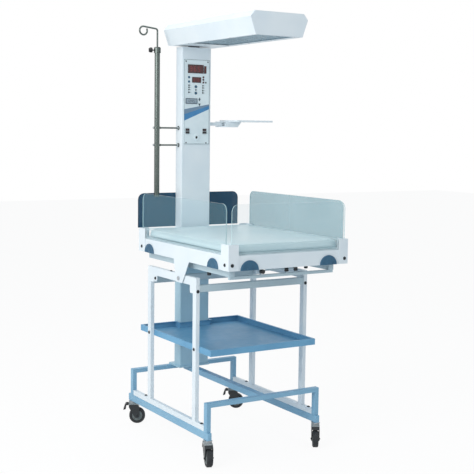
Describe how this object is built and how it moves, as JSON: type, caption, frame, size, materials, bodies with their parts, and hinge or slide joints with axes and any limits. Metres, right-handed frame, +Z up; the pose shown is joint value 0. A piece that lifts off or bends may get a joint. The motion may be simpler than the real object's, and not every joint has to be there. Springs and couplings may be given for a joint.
{
  "type": "infant radiant warmer",
  "caption": "Infant radiant warmer: tilting cot with clear drop-in walls under a swivelling overhead heater, on a wheeled stand with tray, shelf and infusion pole.",
  "frame": {"origin": "under the middle of the warmer's outline seen from above, on the floor", "axes": "+Z up, +Y towards the column at the head end, +X to the shelf's side"},
  "size_m": [0.7244, 0.937, 1.8857],
  "materials": {
    "blue_paint": "satin",
    "steel": "polished",
    "grey_rubber": "matte",
    "black_plastic": "matte",
    "white_paint": "satin",
    "grey_paint": "satin",
    "white_plastic": "satin",
    "red_window": "gloss",
    "grey_window": "gloss",
    "dark_blue_plastic": "satin",
    "polished_aluminium": "polished",
    "ceramic": "matte",
    "mattress_vinyl": "satin",
    "clear_acrylic": "gloss",
    "blue_acrylic": "gloss"
  },
  "bodies": {
    "stand": {"base_rail_left": "blue_paint", "base_rail_right": "blue_paint", "base_bridge": "blue_paint", "side_frame_left": "white_paint", "side_frame_right": "white_paint", "crossbar_front": "grey_paint", "crossbar_rear": "grey_paint", "storage_tray": "blue_paint", "column": "white_paint", "control_fascia": "white_plastic", "temperature_display": "red_window", "timer_display": "grey_window", "probe_socket": "white_plastic", "power_inlet": "black_plastic", "swivel_bearing": "black_plastic", "pole_holder_upper": "steel", "pole_holder_lower": "steel", "pole_tube": "steel", "shelf_bracket": "white_paint", "head_panel": "blue_acrylic", "head_panel_clamp": "white_paint", "tilt_pivot_left": "steel", "tilt_pivot_right": "steel"},
    "canopy": {"canopy_shell": "white_paint", "heater_guard": "steel", "heater_reflector": "polished_aluminium", "heating_element": "ceramic"},
    "bed": {"bed_side_rail_left": "white_paint", "bed_side_rail_right": "white_paint", "bed_front_rail": "white_paint", "bed_rear_rail": "white_paint", "mattress_deck": "white_paint", "under_bed_frame": "grey_paint", "corner_bracket_front_left": "white_paint", "corner_bracket_front_right": "white_paint", "corner_bracket_rear_left": "white_paint", "corner_bracket_rear_right": "white_paint", "mattress": "mattress_vinyl"},
    "side_panel_left": {"side_panel_left": "clear_acrylic"},
    "side_panel_right": {"side_panel_right": "clear_acrylic"},
    "foot_panel": {"foot_panel": "clear_acrylic"},
    "hook_rod": {"hook_rod": "steel"},
    "pole_knob": {"pole_knob": "black_plastic"},
    "instrument_shelf": {"instrument_shelf": "white_paint"},
    "setting_key_upper": {"setting_key_upper": "dark_blue_plastic"},
    "setting_key_lower": {"setting_key_lower": "dark_blue_plastic"},
    "rocker_switch_left": {"rocker_switch_left": "black_plastic"},
    "rocker_switch_right": {"rocker_switch_right": "black_plastic"},
    "caster_fork_front_left": {"caster_fork_front_left": "steel"},
    "caster_wheel_front_left": {"caster_wheel_front_left": "grey_rubber"},
    "brake_pedal_front_left": {"brake_pedal_front_left": "black_plastic"},
    "caster_fork_front_right": {"caster_fork_front_right": "steel"},
    "caster_wheel_front_right": {"caster_wheel_front_right": "grey_rubber"},
    "brake_pedal_front_right": {"brake_pedal_front_right": "black_plastic"},
    "caster_fork_rear_left": {"caster_fork_rear_left": "steel"},
    "caster_wheel_rear_left": {"caster_wheel_rear_left": "grey_rubber"},
    "brake_pedal_rear_left": {"brake_pedal_rear_left": "black_plastic"},
    "caster_fork_rear_right": {"caster_fork_rear_right": "steel"},
    "caster_wheel_rear_right": {"caster_wheel_rear_right": "grey_rubber"},
    "brake_pedal_rear_right": {"brake_pedal_rear_right": "black_plastic"}
  },
  "joints": [
    {"name": "canopy_swivel", "type": "hinge", "parent": "stand", "child": "canopy", "pos_m": [-0.0388, 0.36162, 1.7912], "axis": [0, 0, 1], "range_deg": [-35, 90]},
    {"name": "bed_tilt", "type": "hinge", "parent": "stand", "child": "bed", "pos_m": [-0.0388, -0.04833, 0.764], "axis": [1, 0, 0], "range_deg": [-6, 6]},
    {"name": "side_panel_left_lift", "type": "slide", "parent": "bed", "child": "side_panel_left", "axis": [0, 0, 1], "range_m": [0, 0.045]},
    {"name": "side_panel_right_lift", "type": "slide", "parent": "bed", "child": "side_panel_right", "axis": [0, 0, 1], "range_m": [0, 0.045]},
    {"name": "foot_panel_lift", "type": "slide", "parent": "bed", "child": "foot_panel", "axis": [0, 0, 1], "range_m": [0, 0.045]},
    {"name": "hook_rod_slide", "type": "slide", "parent": "stand", "child": "hook_rod", "axis": [0, 0, 1], "range_m": [-0.05, 0.4]},
    {"name": "pole_knob_turn", "type": "hinge", "parent": "stand", "child": "pole_knob", "pos_m": [-0.2308, 0.36162, 1.764], "axis": [1, 0, 0], "range_deg": [0, 270]},
    {"name": "shelf_swing", "type": "hinge", "parent": "stand", "child": "instrument_shelf", "pos_m": [0.1112, 0.36162, 1.4386], "axis": [0, 0, 1], "range_deg": [-30, 30]},
    {"name": "setting_key_upper_press", "type": "slide", "parent": "stand", "child": "setting_key_upper", "axis": [0, 1, 0], "range_m": [0, 0.0015], "stiffness_N_per_m": 600},
    {"name": "setting_key_lower_press", "type": "slide", "parent": "stand", "child": "setting_key_lower", "axis": [0, 1, 0], "range_m": [0, 0.0015], "stiffness_N_per_m": 600},
    {"name": "rocker_switch_left_rock", "type": "hinge", "parent": "stand", "child": "rocker_switch_left", "pos_m": [-0.0883, 0.32877, 1.396], "axis": [1, 0, 0], "range_deg": [0, 14]},
    {"name": "rocker_switch_right_rock", "type": "hinge", "parent": "stand", "child": "rocker_switch_right", "pos_m": [0.0032, 0.32877, 1.396], "axis": [1, 0, 0], "range_deg": [0, 14]},
    {"name": "caster_front_left_swivel", "type": "hinge", "parent": "stand", "child": "caster_fork_front_left", "pos_m": [-0.3167, -0.28673, 0.1084], "axis": [0, 0, 1], "continuous": true},
    {"name": "caster_front_left_roll", "type": "hinge", "parent": "caster_fork_front_left", "child": "caster_wheel_front_left", "pos_m": [-0.32319, -0.3067, 0.0375], "axis": [0.9511, -0.309, 0], "continuous": true},
    {"name": "caster_front_left_brake", "type": "hinge", "parent": "caster_fork_front_left", "child": "brake_pedal_front_left", "pos_m": [-0.3095, -0.26457, 0.0931], "axis": [-0.9511, 0.309, 0], "range_deg": [0, 18]},
    {"name": "caster_front_right_swivel", "type": "hinge", "parent": "stand", "child": "caster_fork_front_right", "pos_m": [0.2391, -0.28673, 0.1084], "axis": [0, 0, 1], "continuous": true},
    {"name": "caster_front_right_roll", "type": "hinge", "parent": "caster_fork_front_right", "child": "caster_wheel_front_right", "pos_m": [0.22766, -0.30434, 0.0375], "axis": [0.8387, -0.5446, 0], "continuous": true},
    {"name": "caster_front_right_brake", "type": "hinge", "parent": "caster_fork_front_right", "child": "brake_pedal_front_right", "pos_m": [0.25179, -0.26719, 0.0931], "axis": [-0.8387, 0.5446, 0], "range_deg": [0, 18]},
    {"name": "caster_rear_left_swivel", "type": "hinge", "parent": "stand", "child": "caster_fork_rear_left", "pos_m": [-0.3167, 0.43337, 0.1084], "axis": [0, 0, 1], "continuous": true},
    {"name": "caster_rear_left_roll", "type": "hinge", "parent": "caster_fork_rear_left", "child": "caster_wheel_rear_left", "pos_m": [-0.29783, 0.42417, 0.0375], "axis": [0.4384, 0.8988, 0], "continuous": true},
    {"name": "caster_rear_left_brake", "type": "hinge", "parent": "caster_fork_rear_left", "child": "brake_pedal_rear_left", "pos_m": [-0.33764, 0.44359, 0.0931], "axis": [-0.4384, -0.8988, 0], "range_deg": [0, 18]},
    {"name": "caster_rear_right_swivel", "type": "hinge", "parent": "stand", "child": "caster_fork_rear_right", "pos_m": [0.2391, 0.43337, 0.1084], "axis": [0, 0, 1], "continuous": true},
    {"name": "caster_rear_right_roll", "type": "hinge", "parent": "caster_fork_rear_right", "child": "caster_wheel_rear_right", "pos_m": [0.2571, 0.42256, 0.0375], "axis": [0.515, 0.8572, 0], "continuous": true},
    {"name": "caster_rear_right_brake", "type": "hinge", "parent": "caster_fork_rear_right", "child": "brake_pedal_rear_right", "pos_m": [0.21912, 0.44537, 0.0931], "axis": [-0.515, -0.8572, 0], "range_deg": [0, 18]}
  ]
}
